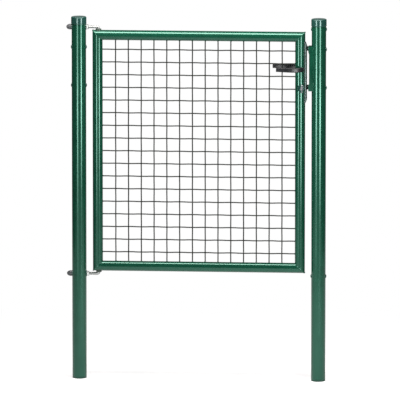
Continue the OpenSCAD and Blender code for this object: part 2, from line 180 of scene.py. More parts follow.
def fromFrame(node, name, body, material, bevel):
    # a copy of a frame node, its loose triangles merged and flat faces joined, edges bevelled
    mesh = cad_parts[node].data.copy()
    mesh.name = name
    bm = bmesh.new()
    bm.from_mesh(mesh)
    bmesh.ops.remove_doubles(bm, verts=bm.verts, dist=bevelled["mergeMm"] * mm)
    bmesh.ops.dissolve_limit(bm, angle_limit=math.radians(bevelled["flatDegrees"]),
                             verts=bm.verts, edges=bm.edges)
    for face in bm.faces:
        face.smooth = True
    bm.to_mesh(mesh)
    bm.free()
    piece = mount(name, mesh, body, material, [node])
    edge = piece.modifiers.new("edges", "BEVEL")
    edge.width = bevel * mm
    edge.segments = bevelled["segments"]
    edge.limit_method = "ANGLE"
    edge.angle_limit = math.radians(bevelled["edgeDegrees"])
    edge.harden_normals = True


def addNode(tree, kind, settings=None, links=None, onward=None):
    # adds a shader node, sets its properties or inputs by name or number, links sockets, or the
    # first output of other nodes, to its inputs, and its own outputs onward to other sockets
    node = tree.nodes.new("ShaderNode" + kind)
    for key, value in (settings or {}).items():
        if isinstance(key, str) and hasattr(node, key):
            setattr(node, key, value)
        else:
            node.inputs[key].default_value = value
    for key, source in (links or {}).items():
        socket = source.outputs[0] if isinstance(source, bpy.types.Node) else source
        tree.links.new(socket, node.inputs[key])
    for key, target in (onward or {}).items():
        tree.links.new(node.outputs[key], target)
    return node


def newMaterial(name, settings):
    # an empty material with one Principled shader, its even values set on its own sockets
    material = bpy.data.materials.new(name)
    material.use_nodes = True
    tree = material.node_tree
    tree.nodes.clear()
    shader = addNode(tree, "BsdfPrincipled", settings)
    addNode(tree, "OutputMaterial", links={"Surface": shader})
    place = addNode(tree, "TexCoord").outputs["Object"]
    return material, tree, shader, place


def twoColours(look):
    # the two colour sockets of a colour mix, by number, from a pair of hex colours
    return {6: srgb(look["colours"][0]), 7: srgb(look["colours"][1])}


powder = {"shader": {"IOR": 1.55, "Specular IOR Level": 0.7,
                     "Specular Tint": (0.49, 1.0, 0.81, 1.0)},
          "colours": ("0b3a2a", "0f402f"), "cloudMm": 60, "limits": (0.35, 0.65),
          # the foot colour, over the lowest millimetres, is a painted shade for the contact shadow
          # at the posts' feet
          "foot": "04160f", "footShadeMm": 12,
          "rough": (0.09, 0.13), "roughMm": 9, "roughLimits": (0.3, 0.7),
          "peelMm": 2.2, "depthMm": 0.0014}


def mossPowderCoat():
    # polyester powder coat, sprayed and baked on galvanised tube: a thick glossy film whose
    # faint orange peel softens the lamp streaks; the hue drifts a little along the tubes. Its
    # lowest millimetres are painted darker: a painted shade for the contact shadow at the posts'
    # feet
    material, tree, shader, place = newMaterial("mossPowderCoat", powder["shader"])
    cloud, flow, peel = (
        addNode(tree, "TexNoise", {"Scale": 1 / (powder[size] * mm), "Detail": detail},
                {"Vector": place})
        for size, detail in (("cloudMm", 2), ("roughMm", 1), ("peelMm", 1)))
    low, high = powder["limits"]
    drift = addNode(tree, "MapRange", {"From Min": low, "From Max": high}, {"Value": cloud})
    film = addNode(tree, "Mix", {"data_type": "RGBA", **twoColours(powder)}, {0: drift})
    # painted shade: near the floor the coat turns to the foot colour, standing in for the contact
    # shadow at the feet
    height = addNode(tree, "SeparateXYZ", {}, {"Vector": place})
    aboveFootShade = addNode(tree, "MapRange", {"From Max": powder["footShadeMm"] * mm},
                    {"Value": height.outputs["Z"]})
    addNode(tree, "Mix", {"data_type": "RGBA", 6: srgb(powder["foot"])},
            {0: aboveFootShade, 7: film.outputs[2]}, {2: shader.inputs["Base Color"]})
    (low, high), (first, second) = powder["roughLimits"], powder["rough"]
    addNode(tree, "MapRange",
            {"From Min": low, "From Max": high, "To Min": first, "To Max": second},
            {"Value": flow}, {0: shader.inputs["Roughness"]})
    addNode(tree, "Bump", {"Strength": 1, "Distance": powder["depthMm"] * mm},
            {"Height": peel}, {0: shader.inputs["Normal"]})
    return material


def finish(name, look):
    # every other finish: its first pattern, stretched between the limits, runs the colour and the
    # roughness from their first value to their second, and its last one lifts the skin. A pattern
    # is its kind, its size in millimetres and its detail, drawn out along the height if it says so
    material, tree, shader, place = newMaterial(name, look["shader"])
    if "drawnOut" in look:
        place = addNode(tree, "Mapping", {"Scale": (1, 1, look["drawnOut"])}, {"Vector": place})
    patterns = [addNode(tree, "Tex" + kind, {"Scale": 1 / (size * mm), "Detail": detail},
                        {"Vector": place}) for kind, size, detail in look["patterns"]]
    low, high = look["limits"]
    shade = addNode(tree, "MapRange", {"From Min": low, "From Max": high},
                    {"Value": patterns[0]})
    addNode(tree, "Mix", {"data_type": "RGBA", **twoColours(look)},
            {0: shade}, {2: shader.inputs["Base Color"]})
    first, second = look["rough"]
    addNode(tree, "MapRange", {"To Min": first, "To Max": second},
            {"Value": shade}, {0: shader.inputs["Roughness"]})
    addNode(tree, "Bump", {"Strength": 1, "Distance": look["depthMm"] * mm},
            {"Height": patterns[-1]}, {0: shader.inputs["Normal"]})
    return material


# the same powder coat over a weld: it pools dark and dull between the ripples of the bead
weld = {"shader": {"IOR": 1.55, "Coat Weight": 0.5, "Coat Roughness": 0.15},
        "colours": ("0f3024", "174233"), "limits": (0.35, 0.65), "rough": (0.5, 0.3),
        "patterns": [("Noise", 3, 3), ("Noise", 1.2, 3)], "depthMm": 0.15}

# polyethylene, injection moulded in a polished tool: dark and glossy, its flow lines a shade
# apart and its skin slightly sunk where it cooled last
moulded = {"shader": {"IOR": 1.51, "Specular IOR Level": 0.9,
                      "Specular Tint": (0.72, 1.0, 0.95, 1.0)},
           "colours": ("183a34", "1c4039"), "limits": (0.35, 0.65), "rough": (0.1, 0.14),
           "patterns": [("Noise", 25, 2), ("Noise", 7, 1)], "depthMm": 0.004}

# bright zinc plate over rolled steel: a pale satin metal with cloudy passivation. The rolling
# grain is 0.1 mm in truth and is drawn at 0.8 mm, as coarse as it needs to show
plating = {"shader": {"Metallic": 0.75},
           "colours": ("8f9492", "a9adab"), "limits": (0.3, 0.7), "rough": (0.42, 0.28),
           "patterns": [("Noise", 6, 4), ("Noise", 0.8, 2)], "depthMm": 0.006}
# a paler copy for the inner nuts: bright zinc, its paleness partly a painted reflection of the
# white surroundings
brightPlatingAndReflection = {**plating, "colours": ("c6cac8", "dadedc")}

# steel strip, brushed lengthways and given a dull zinc chromate: grey metal whose brush marks
# run up the plate. They are 0.05 mm in truth and are drawn at 0.35 mm, so that they show
strip = {"shader": {"Metallic": 0.8}, "drawnOut": 0.02,
         "colours": ("3f4e4b", "566562"), "limits": (0.3, 0.7), "rough": (0.36, 0.26),
         "patterns": [("Noise", 0.35, 3)], "depthMm": 0.006}

# nickel plated brass, finely brushed: a pale metal with soft upright streaks, drawn five times
# as wide as the 0.05 mm brush marks so that they show
brass = {"shader": {"Metallic": 0.8}, "drawnOut": 0.05,
         "colours": ("a9adb2", "bfc3c8"), "limits": (0.3, 0.7), "rough": (0.3, 0.2),
         "patterns": [("Noise", 0.25, 3)], "depthMm": 0.004}

# drawn wire, hot-dip galvanised and gone dull: dark grey, in spangles a few millimetres long
# whose edges are a shade lighter, and rough like fine sand
drawnWire = {"shader": {"Specular IOR Level": 0.3},
             "colours": ("0e140e", "1b221b"), "limits": (0, 1), "rough": (0.45, 0.6),
             "patterns": [("Voronoi", 3.5, 0), ("Noise", 0.7, 3)], "depthMm": 0.02}

# glass-filled polyamide, moulded in a spark-eroded tool: satin, with a fine leathery skin
# whose cells are 0.2 mm in truth and are drawn at 0.6 mm, so that they show
leverPlastic = {"shader": {"IOR": 1.53, "Specular IOR Level": 0.28},
                "colours": ("1b1d1f", "222427"), "limits": (0.35, 0.65), "rough": (0.22, 0.28),
                "patterns": [("Noise", 12, 2), ("Voronoi", 0.6, 0)], "depthMm": 0.002}
domePlastic = {**leverPlastic, "colours": ("45484a", "56595b"),
               "patterns": [("Noise", 8, 2), ("Voronoi", 0.6, 0)]}
bushPlastic = {**leverPlastic, "colours": ("303f37", "3b4b42"),
               "patterns": [("Noise", 5, 2), ("Voronoi", 0.6, 0)]}

# vulcanised rubber: black and matt, with a chalky bloom in patches and small open pores
pad = {"shader": {"IOR": 1.52},
       "colours": ("111212", "202121"), "limits": (0.4, 0.8), "rough": (0.7, 0.85),
       "patterns": [("Noise", 1.5, 4), ("Noise", 0.4, 2)], "depthMm": 0.03}

greenCoat = mossPowderCoat()
weldGreen = finish("weldCoat", weld)
capPlastic = finish("mouldedGreenPlastic", moulded)
zinc = finish("zincPlate", plating)
brightZincAndReflection = finish("brightZincPlateAndReflection", brightPlatingAndReflection)
plateSteel = finish("brushedChromate", strip)
nickel = finish("satinNickel", brass)
wireSteel = finish("galvanisedWire", drawnWire)
blackPlastic = finish("blackPolyamide", leverPlastic)
duskPlastic = finish("duskPolyamide", domePlastic)
greyPlastic = finish("greyPolyamide", bushPlastic)
rubber = finish("blackRubber", pad)
print("stage 2: materials made")

tube = {"wall": 2.0, "cutEdge": 0.4, "sides": 128}
postR = 30.0


def addPost(node, name):
    # a tube with its cut ends slightly rounded: its wall's profile turned about the post's axis
    low, high = boxOf(node)
    x, top, e = (low[0] + high[0]) / 2, high[2], tube["cutEdge"]
    outer, inner = (high[0] - low[0]) / 2, (high[0] - low[0]) / 2 - tube["wall"]
    wall = [(inner + e, 0), (outer - e, 0), (outer, e), (outer, top - e), (outer - e, top),
            (inner + e, top), (inner, top - e), (inner, e)]
    addPiece(name, turned(wall, (x, 0, 0), (0, 0, 1), tube["sides"], True),
             "posts", greenCoat, [node])
    return x


hingeX = addPost("hinge_post", "hinge_post_tube")
latchX = addPost("latch_post", "latch_post_tube")

cap = {"gap": 0.25, "lip": 3.2, "lipProud": 0.35, "lipSlope": 0.8, "lipFoot": (0.3, 0.4),
       "lipRounds": (0.3, 0.6, 0.5), "shoulder": 4.0, "shoulderDrop": 0.2, "crownRise": 1.3,
       "innerDrop": 6.0, "sides": 128}


def addCap(node, name, x):
    # a moulded cap: a thin lip at the skirt's edge, a straight skirt, a rounded shoulder and a
    # crown that rises as 1 - (r / R)^2 towards the middle, turned about the post's axis
    low, high = boxOf(node)
    bottom, top = low[2], high[2]
    outer, bore = (high[0] - low[0]) / 2, postR + cap["gap"]
    skirt, inside = outer - cap["lipProud"], top - cap["innerDrop"]
    crownR = skirt - cap["shoulder"]
    r = np.linspace(crownR, 0, 12)
    crown = np.stack([r, top - cap["crownRise"] * (r / crownR) ** 2], axis=-1).tolist()
    footIn, footUp = cap["lipFoot"]
    lip = outline([(bore, bottom + footUp), (outer - footIn, bottom),
                   (outer, bottom + cap["lip"] / 2),
                   (skirt, bottom + cap["lip"] + cap["lipSlope"]),
                   (skirt, top - cap["crownRise"] - cap["shoulder"])], cap["lipRounds"], 4)
    corner = (skirt, top - cap["crownRise"] - cap["shoulderDrop"])
    shoulder = rounded(corner, lip[-1], crown[0], cap["shoulder"] - cap["shoulderDrop"], 9)
    profile = [(0, inside), (bore, inside)] + lip[:-1] + shoulder + crown
    addPiece(name, turned(profile, (x, 0, 0), (0, 0, 1), cap["sides"]),
             "posts", capPlastic, [node], 40)


addCap("hinge_post_cap", "hinge_post_moulded_cap", hingeX)
addCap("latch_post_cap", "latch_post_moulded_cap", latchX)

head = {"radius": 8.0, "rim": 1.3, "rimStart": 1.0, "rise": 3.5, "depth": 6.0, "sides": 48}


def headOn(x, z, way):
    # one low domed head on the wall of a post, facing -X or +X: a short rim, then the part of a
    # circle through the rim and the top, turned about X
    dome = head["rise"] - head["rim"]
    ball = (head["radius"] ** 2 + dome ** 2) / (2 * dome)
    a = np.linspace(math.asin(head["radius"] / ball), 0, 12)
    arc = np.stack([ball * np.sin(a), head["rise"] - ball + ball * np.cos(a)], axis=-1).tolist()
    rim = [(head["radius"], -head["depth"]), (head["radius"], head["rimStart"])]
    return turned(rim + arc, (x + way * postR, 0, z), (way, 0, 0), head["sides"])


for node in ("hinge_post_plugs_upper", "hinge_post_plugs_lower",
             "latch_post_plugs_top", "latch_post_plugs_bottom"):
    low, high = boxOf(node)
    x, z = (low[0] + high[0]) / 2, (low[2] + high[2]) / 2
    addPiece(node + "_heads", joined([headOn(x, z, -1), headOn(x, z, 1)]),
             "posts", capPlastic, [node])
print("stage 3: posts, caps and plugs made")

rod = {"radius": 6.0, "bend": 7.0, "bendRings": 14, "legRings": 6, "endChamfer": 1.0,
       "threadPitch": 1.75, "threadDepth": 0.55, "threadEnd": 58.0, "threadRings": 6,
       "runOut": 1.0, "beforeBend": 0.5, "sides": 32}


def addRod(node, name):
    # a circle carried along a bent path: straight through the post, a quarter bend, then the pin.
    # The thread makes its radius R - depth * |2 frac(s / pitch - u / 2 pi) - 1|
    low, high = boxOf(node)
    up = 1 if "top" in node else -1
    radius, bend, pitch = rod["radius"], rod["bend"], rod["threadPitch"]
    z = high[2] - radius if up > 0 else low[2] + radius
    end = low[2] if up > 0 else high[2]
    start, pivot = low[0], high[0] - radius
    straight = np.arange(start, rod["threadEnd"], pitch / rod["threadRings"])
    straight = np.append(straight, [rod["threadEnd"] + rod["runOut"],
                                    pivot - bend - rod["beforeBend"]])
    a = np.linspace(0, np.pi / 2, rod["bendRings"])
    leg = np.linspace(z - up * bend, end, rod["legRings"])[1:]
    x = np.concatenate([straight, pivot - bend + bend * np.sin(a), np.full(len(leg), pivot)])
    height = np.concatenate([np.full(len(straight), z), z - up * bend * (1 - np.cos(a)), leg])
    path = np.stack([x, 0 * x, height], axis=-1)
    tangent = np.gradient(path, axis=0)
    tangent /= np.linalg.norm(tangent, axis=1)[:, None]
    side = np.array([0.0, 1.0, 0.0])
    phase = (x[:, None] / pitch - angles(rod["sides"]) / (2 * np.pi)) % 1
    cut = rod["threadDepth"] * np.abs(2 * phase - 1) * (x < rod["threadEnd"])[:, None]
    cut = cut + rod["endChamfer"] * (np.arange(len(x)) == 0)[:, None]
    addPiece(name, carried(path, side, np.cross(tangent, side), radius - cut, radius - cut, 2.0,
                           rod["sides"]), "posts", zinc, [node], 50)
    return pivot


pivotX = addRod("hinge_rod_top", "hinge_rod_top_bent")
addRod("hinge_rod_bottom", "hinge_rod_bottom_bent")

nut = {"face": 0.475, "slope": 0.5774, "perFlat": 10}


def hexagon(apothem, u):
    # the radius of a hexagon at the angles u: apothem over the cosine of the angle from the
    # middle of the nearest flat
    return apothem / np.cos((u + np.pi / 6) % (np.pi / 3) - np.pi / 6)


def hexNut(x0, x1, z, flats):
    # a hexagon prism whose corners are turned down: the face is round, and it sinks towards the
    # corners by (hexagon - face radius) * tan 30
    u = angles(6 * nut["perFlat"])
    flat = hexagon(flats / 2, u)
    face = np.full_like(u, flats * nut["face"])
    sink = (flat - face) * nut["slope"]
    r = np.stack([face, flat, flat, face])
    x = np.stack([0 * u + x0, x0 + sink, x1 - sink, 0 * u + x1])
    return shell(np.stack([x, r * np.cos(u), z + r * np.sin(u)], axis=-1))


# the inner nuts take the paler zinc, part of whose paleness is painted reflection of the bright
# surroundings
for node in ("hinge_nut_inner_top", "hinge_nut_inner_bottom"):
    low, high = boxOf(node)
    flats = min(high[1] - low[1], high[2] - low[2])
    addPiece(node + "_hex", hexNut(low[0], high[0], (low[2] + high[2]) / 2, flats),
             "posts", brightZincAndReflection, [node], 20)

washer = {"sink": 3.0, "taper": 1.0, "rounds": (0, 0.2, 0.5), "sides": 64}
for node in ("hinge_washer_top", "hinge_washer_bottom"):
    # a moulded green plate between the nut and the post, that keeps the steel off the coat
    low, high = boxOf(node)
    r, thick = (high[1] - low[1]) / 2, high[0] - low[0]
    inner = r - washer["taper"]
    profile = outline([(0, -washer["sink"]), (inner, -washer["sink"]), (r, 0), (r, thick),
                       (0, thick)], washer["rounds"])
    place = (low[0], 0, (low[2] + high[2]) / 2)
    addPiece(node + "_disc", turned(profile, place, (1, 0, 0), washer["sides"]),
             "posts", capPlastic, [node])

dome = {"washer": 2.0, "washerIn": 0.6, "edge": 0.5, "sink": 12.0, "rim": 2.0, "straight": 4.0,
        "sides": 64}
for node in ("hinge_dome_top", "hinge_dome_bottom"):
    # a push-on dome over the nut: a short straight rim and half an egg, radius r * cos a at the
    # height of its length * sin a, turned about X; it sits on a thick washer against the post
    low, high = boxOf(node)
    r, z = (high[1] - low[1]) / 2, (low[2] + high[2]) / 2
    foot, sink, discR = dome["washer"], dome["sink"], r - dome["washerIn"]
    shoulder = foot + dome["straight"]
    egg = -low[0] - postR - foot - dome["straight"]
    a = np.linspace(0, np.pi / 2, 18)
    ball = np.stack([r * np.cos(a), shoulder + egg * np.sin(a)], axis=-1).tolist()
    base = outline([(r - dome["rim"], foot), (r, foot), (r, shoulder)], [dome["edge"]], 4)
    addPiece(node + "_cover", turned(base[:-1] + ball, (-postR, 0, z), (-1, 0, 0), dome["sides"]),
             "posts", duskPlastic, [node])
    disc = outline([(0, -sink), (discR, -sink), (discR, foot), (0, foot)], [0, dome["edge"]], 4)
    addPiece(node.replace("dome", "washer_outer") + "_disc",
             turned(disc, (-postR, 0, z), (-1, 0, 0), dome["sides"]), "posts", plateSteel)

bush = {"lip": 1.8, "rise": 5.0, "sink": 14.0, "edge": 0.9, "bore": 6.6, "dish": 0.4, "sides": 64}
for node, way in (("hinge_bush_top", 1), ("hinge_bush_bottom", -1)):
    # a flanged bush standing in the corner of the leaf, turned about the pin's axis
    low, high = boxOf(node)
    r, rise, bore = (high[1] - low[1]) / 2 + bush["lip"], bush["rise"], bush["bore"]
    leafEdge = (high[2] if way > 0 else low[2]) - way * rise
    profile = outline([(0, -bush["sink"]), (r, -bush["sink"]), (r, rise), (bore, rise),
                       (bore, rise - bush["dish"]), (0, rise - bush["dish"])],
                      [0, bush["edge"], 0, 0])
    addPiece(node + "_flange", turned(profile, (pivotX, 0, leafEdge), (0, 0, way), bush["sides"]),
             "leaf", greyPlastic, [node])
print("stage 4: hinges made")

leaf = {"sides": 96, "beadWide": 2.4, "beadHigh": 0.35, "ripple": 2.6, "rippleHigh": 0.12,
        "beadSteps": 240, "beadSides": 12}
leafLow, leafHigh = boxOf("hinge_stile")[0], boxOf("latch_stile")[1]
left, right = leafLow[0], leafHigh[0]
bottom, top = leafLow[2], leafHigh[2]
frameR = (boxOf("top_rail")[1][2] - boxOf("top_rail")[0][2]) / 2
depthWay = np.array([0, 1, 0])


def mitredTube(start, end, out):
    # a tube between two corners of the leaf: at each end the circle is sheared so that
    # a point r * cos u further out lies r * cos u further along, which is the 45 degree mitre
    start, end, out = (np.array(p, float) for p in (start, end, out))
    along = (end - start) / np.linalg.norm(end - start)
    u = angles(leaf["sides"])
    outward = frameR * np.cos(u)[:, None]
    ring = outward * out + frameR * np.sin(u)[:, None] * depthWay
    return shell(np.stack([start + ring - outward * along, end + ring + outward * along]))


leftX, rightX = left + frameR, right - frameR
lowZ, highZ = bottom + frameR, top - frameR
corners = {"bottomLeft": (leftX, 0, lowZ), "topLeft": (leftX, 0, highZ),
           "topRight": (rightX, 0, highZ), "bottomRight": (rightX, 0, lowZ)}
for node, start, end, out in (("hinge_stile", "bottomLeft", "topLeft", (-1, 0, 0)),
                              ("top_rail", "topLeft", "topRight", (0, 0, 1)),
                              ("latch_stile", "topRight", "bottomRight", (1, 0, 0)),
                              ("bottom_rail", "bottomRight", "bottomLeft", (0, 0, -1))):
    addPiece(node + "_tube", mitredTube(corners[start], corners[end], out),
             "leaf", greenCoat, [node], 30)


def mitreBead(corner, x, z):
    # a low weld bead round a mitre: a flat ellipse carried along the edge where two tubes meet,
    # its height rising and falling with the ripples
    u = np.linspace(0, 2 * np.pi, leaf["beadSteps"] + 1)
    out = np.array([x, 0, z], float)
    path = (np.array(corner) + (frameR * np.cos(u))[:, None] * out
            + (frameR * np.sin(u))[:, None] * depthWay)
    along = np.gradient(path, axis=0)
    along /= np.linalg.norm(along, axis=1)[:, None]
    lift = np.cos(u)[:, None] * out / math.sqrt(2) + np.sin(u)[:, None] * depthWay
    lift /= np.linalg.norm(lift, axis=1)[:, None]
    across = np.cross(along, lift)
    length = np.cumsum(np.linalg.norm(np.diff(path, axis=0, prepend=path[:1]), axis=1))
    wave = leaf["rippleHigh"] * np.abs(np.sin(np.pi * length / leaf["ripple"]))
    s = angles(leaf["beadSides"])
    high = leaf["beadHigh"] + wave[:-1, None]
    points = (path[:-1, None] + (leaf["beadWide"] * np.cos(s))[None, :, None] * across[:-1, None]
              + (high * np.sin(s)[None])[..., None] * lift[:-1, None])
    return shell(points, True)


beads = [mitreBead(corners["bottomLeft"], -1, -1), mitreBead(corners["topLeft"], -1, 1),
         mitreBead(corners["topRight"], 1, 1), mitreBead(corners["bottomRight"], 1, -1)]
addPiece("mitre_weld_beads", joined(beads), "leaf", greenCoat)
print("stage 5: leaf tubes made")

wires = {"diameter": 5.0, "pitch": 53.4, "columns": 14, "rows": 17, "perPitch": 10, "sides": 10,
         "crimp": 2.0, "intoTube": 4.0, "fade": (6, 8)}
wireR = wires["diameter"] / 2
middleX, middleZ = (left + right) / 2, (bottom + top) / 2
columnX = middleX + (np.arange(wires["columns"]) - (wires["columns"] - 1) / 2) * wires["pitch"]
rowZ = middleZ + (np.arange(wires["rows"]) - (wires["rows"] - 1) / 2) * wires["pitch"]
innerLeft, innerRight = left + 2 * frameR, right - 2 * frameR
innerBottom, innerTop = bottom + 2 * frameR, top - 2 * frameR


def crimped(first, count, start, end, sign):
    # distance along a wire and its sideways wave, which is one wire radius to alternate sides
    # at each crossing: R * tanh(k cos(pi s / pitch)) / tanh(k), fading out towards the tubes
    steps = int(round((end - start) / wires["pitch"] * wires["perPitch"]))
    s = np.linspace(start, end, steps + 1)
    phase = np.cos(np.pi * (s - first) / wires["pitch"])
    wave = wireR * np.tanh(wires["crimp"] * phase) / math.tanh(wires["crimp"]) * sign
    last = first + (count - 1) * wires["pitch"]
    edge, near = wires["fade"]
    fade = smooth(start + edge, first - near, s) * (1 - smooth(last + near, end - edge, s))
    return s, wave * fade


def wireAlong(axis, fixed, first, count, start, end, sign):
    # one round wire, carried along X or Z
    s, wave = crimped(first, count, start, end, sign)
    flat = np.full_like(s, fixed)
    path = np.stack([s, wave, flat] if axis == "x" else [flat, wave, s], axis=-1)
    side = [0, 0, 1] if axis == "x" else [1, 0, 0]
    return carried(path, side, depthWay, wireR, wireR, 2.0, wires["sides"])


sink = wires["intoTube"]
panel = [wireAlong("z", x, rowZ[0], wires["rows"], innerBottom - sink, innerTop + sink, (-1) ** i)
         for i, x in enumerate(columnX)]
panel += [wireAlong("x", z, columnX[0], wires["columns"], innerLeft - sink, innerRight + sink,
                    -(-1) ** j) for j, z in enumerate(rowZ)]
addPiece("crimped_wire_panel", joined(panel), "leaf", wireSteel, ["mesh_panel"], 60)

spot = {"along": 3.4, "across": 3.6, "pole": 0.25, "lobes": 0.10, "skew": 0.07, "sides": 14,
        "rings": 8}


def weldSpot(x, z, k):
    # a small blob where a wire is welded to the tube: a ball whose radius is
    # 1 + lobes * sin(3u + k) sin v + skew * sin(2u - 2.3k), no two alike
    v = np.linspace(spot["pole"], np.pi - spot["pole"], spot["rings"])[:, None]
    u = angles(spot["sides"])[None]
    r = 1 + spot["lobes"] * np.sin(3 * u + k) * np.sin(v) + spot["skew"] * np.sin(2 * u - 2.3 * k)
    shape = np.stack([spot["along"] * r * np.sin(v) * np.cos(u),
                      spot["across"] * r * np.sin(v) * np.sin(u),
                      spot["along"] * r * np.cos(v)], axis=-1)
    return shell(np.array([x, 0, z]) + shape)


ends = [(x, z) for x in columnX for z in (innerBottom, innerTop)]
ends += [(x, z) for z in rowZ for x in (innerLeft, innerRight)]
addPiece("wire_weld_spots", joined([weldSpot(x, z, 1.7 * k) for k, (x, z) in enumerate(ends)]),
         "leaf", weldGreen, (), 60)
print("stage 6: wire panel made")

shank = {"radius": 4.0, "edge": 0.6, "sides": 32}
fromFrame("strike_channel", "strike_channel_folded", "posts", greenCoat, 0.8)
for node in ("strike_bolt_top", "strike_bolt_bottom"):
    # a domed head on the far side of the post and a round shank that runs through to the strike
    low, high = boxOf(node)
    z, start = (low[2] + high[2]) / 2, low[0] - latchX
    profile = outline([(0, start), (shank["radius"], start), (shank["radius"], postR)],
                      [shank["edge"]])
    stem = turned(profile, (latchX, 0, z), (1, 0, 0), shank["sides"])
    addPiece(node + "_domed", joined([headOn(latchX, z, 1), stem]),
             "posts", capPlastic, [node])

recess = {"edge": 0.35, "taper": 0.96, "floor": 0.5, "sides": 72}
recessU = angles(recess["sides"])


def recessed(origin, axis, radius, thick, mouth, depth):
    # a disc with a recess: rings go up its side, over its edge, across its face to the mouth of
    # the recess, which is given as radii over the angle, then down to the floor
    e, full = recess["edge"], np.ones_like(recessU)
    radii = np.stack([radius * full, radius * full, (radius - e) * full, mouth,
                      mouth * recess["taper"], mouth * recess["floor"]])
    rise = np.array([0, thick - e, thick, thick, thick - depth, thick - depth])
    points = np.array(origin, float) + rise[:, None, None] * np.array(axis, float)
    return shell(points + radii[..., None] * ringAround(axis, recessU))


strikeNut = {"key": 2.5, "keyDepth": 1.6}
for node in ("strike_nut_top", "strike_nut_bottom"):
    # a flat round nut with a hexagon key hole
    low, high = boxOf(node)
    z, r, thick = (low[2] + high[2]) / 2, (high[1] - low[1]) / 2, high[0] - low[0]
    disc = recessed((high[0], 0, z), (-1, 0, 0), r, thick, hexagon(strikeNut["key"], recessU),
                    strikeNut["keyDepth"])
    addPiece(node + "_flat", disc, "posts", capPlastic, [node], 25)
for node in ("stop_buffer_top", "stop_buffer_bottom"):
    fromFrame(node, node + "_pad", "posts", rubber, 0.5)
print("stage 7: strike made")

plate = {"halfDeep": 8.5, "power": 3.2, "below": 0.4, "chamfer": 5.0, "chamferRise": 14.0,
         "edge": 1.0, "rings": 6, "sides": 72}
plateLow, plateHigh = boxOf("lock_faceplate")


def pressedPlate():
    # a strip pressed round the stile: a superellipse with nearly flat sides carried up the leaf,
    # its depth shrinking to the cut-back corners and on a quarter circle to its rounded ends
    z0, z1, rise, e = plateLow[2], plateHigh[2], plate["chamferRise"], plate["edge"]
    q = np.linspace(0, np.pi / 2, plate["rings"])
    foot = z0 + e * (1 - np.cos(q))
    z = np.concatenate([foot, np.linspace(z0 + e, z0 + rise, plate["rings"])[1:],
                        np.linspace(z1 - rise, z1 - e, plate["rings"])[:-1],
                        z1 - foot[::-1] + z0])
    fromEnd = np.minimum(z - z0, z1 - z)
    back = plate["chamfer"] * np.clip(1 - fromEnd / rise, 0, 1)
    drawnIn = e * (1 - np.sqrt(np.clip(1 - (1 - fromEnd / e).clip(0, 1) ** 2, 0, 1)))
    face = plateHigh[0] - plate["below"]
    path = np.stack([np.full_like(z, face - plate["halfDeep"]) - back / 2, 0 * z, z], axis=-1)
    return carried(path, [1, 0, 0], depthWay, plate["halfDeep"] - back / 2 - drawnIn,
                   (plateHigh[1] - plateLow[1]) / 2 - drawnIn, plate["power"], plate["sides"])


addPiece("lock_faceplate_pressed", pressedPlate(), "leaf", plateSteel,
         ["lock_faceplate"], 50)
fromFrame("latch_bolt", "latch_bolt_brushed", "leaf", nickel, 0.5)
fromFrame("dead_bolt", "dead_bolt_brushed", "leaf", nickel, 0.5)

screw = {"radius": 3.6, "fromEnd": 22.0, "proud": 0.1, "sink": 1.0, "star": 1.7,
         "lobes": (0.86, 0.14), "depth": 1.2}
# each has a recess of six rounded lobes: radius * (0.86 + 0.14 cos 6u)
steady, lobe = screw["lobes"]
star = screw["star"] * (steady + lobe * np.cos(6 * recessU))
screws = [recessed((plateHigh[0] - screw["sink"], 0, z), (1, 0, 0), screw["radius"],
                   screw["sink"] + screw["proud"], star, screw["depth"])
          for z in (plateLow[2] + screw["fromEnd"], plateHigh[2] - screw["fromEnd"])]
addPiece("faceplate_screws", joined(screws), "leaf", zinc, (), 25)

key = {"round": 8.5, "web": 5.0, "height": 33.0, "edge": 0.5, "plug": 6.4, "plugProud": 0.3,
       "plugSink": 1.0, "slotWide": 1.2, "slotHigh": 3.9, "slotDepth": 4.0, "slotPower": 6,
       "bigSteps": 36, "smallSteps": 16}


def keyProfile(inset):
    # outline of a profile cylinder: most of a large circle, then two straight sides that run
    # down to half of a small circle, all drawn in by the inset
    big, small = key["round"] - inset, key["web"] - inset
    low = -(key["height"] - key["round"] - key["web"])
    a0 = math.acos(small / big)
    a = np.linspace(-a0, np.pi + a0, key["bigSteps"])
    b = np.linspace(np.pi, 2 * np.pi, key["smallSteps"])
    x = np.concatenate([big * np.cos(a), small * np.cos(b)])
    z = np.concatenate([big * np.sin(a), low + small * np.sin(b)])
    return np.stack([x, z], axis=-1)


def extruded(outlines, depths, x, z):
    # outlines at several depths, joined into one solid along Y
    rings = [np.stack([x + o[:, 0], np.full(len(o), y), z + o[:, 1]], axis=-1)
             for o, y in zip(outlines, depths)]
    return shell(np.stack(rings))


cylLow, cylHigh = boxOf("lock_cylinder")
lockX = (cylLow[0] + cylHigh[0]) / 2
keyZ = cylHigh[2] - key["round"]
front, back, e = cylLow[1], cylHigh[1], key["edge"]
full, drawn = keyProfile(0), keyProfile(e)
barrel = extruded([drawn, full, full, drawn], [front, front + e, back - e, back], lockX, keyZ)
power, plugSink = key["slotPower"], key["plugSink"]
slot = 1 / ((np.abs(np.cos(recessU)) / key["slotWide"]) ** power
            + (np.abs(np.sin(recessU)) / key["slotHigh"]) ** power) ** (1 / power)
plugs = [recessed((lockX, y, keyZ), (0, way, 0), key["plug"], plugSink + key["plugProud"],
                  slot, key["slotDepth"])
         for y, way in ((front + plugSink, -1), (back - plugSink, 1))]
addPiece("profile_key_cylinder", joined([barrel] + plugs), "leaf", nickel,
         ["lock_cylinder"], 25)

surround = {"shift": -2.8, "drop": 6.3, "halfWide": 14.2, "halfHigh": 15.0, "taper": 0.6,
            "root": 6.0, "rise": 12.0, "edge": 0.9, "mouthShift": 1.0, "mouthDrop": 6.5,
            "mouthWide": 5.0, "mouthHigh": 10.5, "lip": 0.6, "depth": 3.0, "power": 2.2,
            "sides": 72}


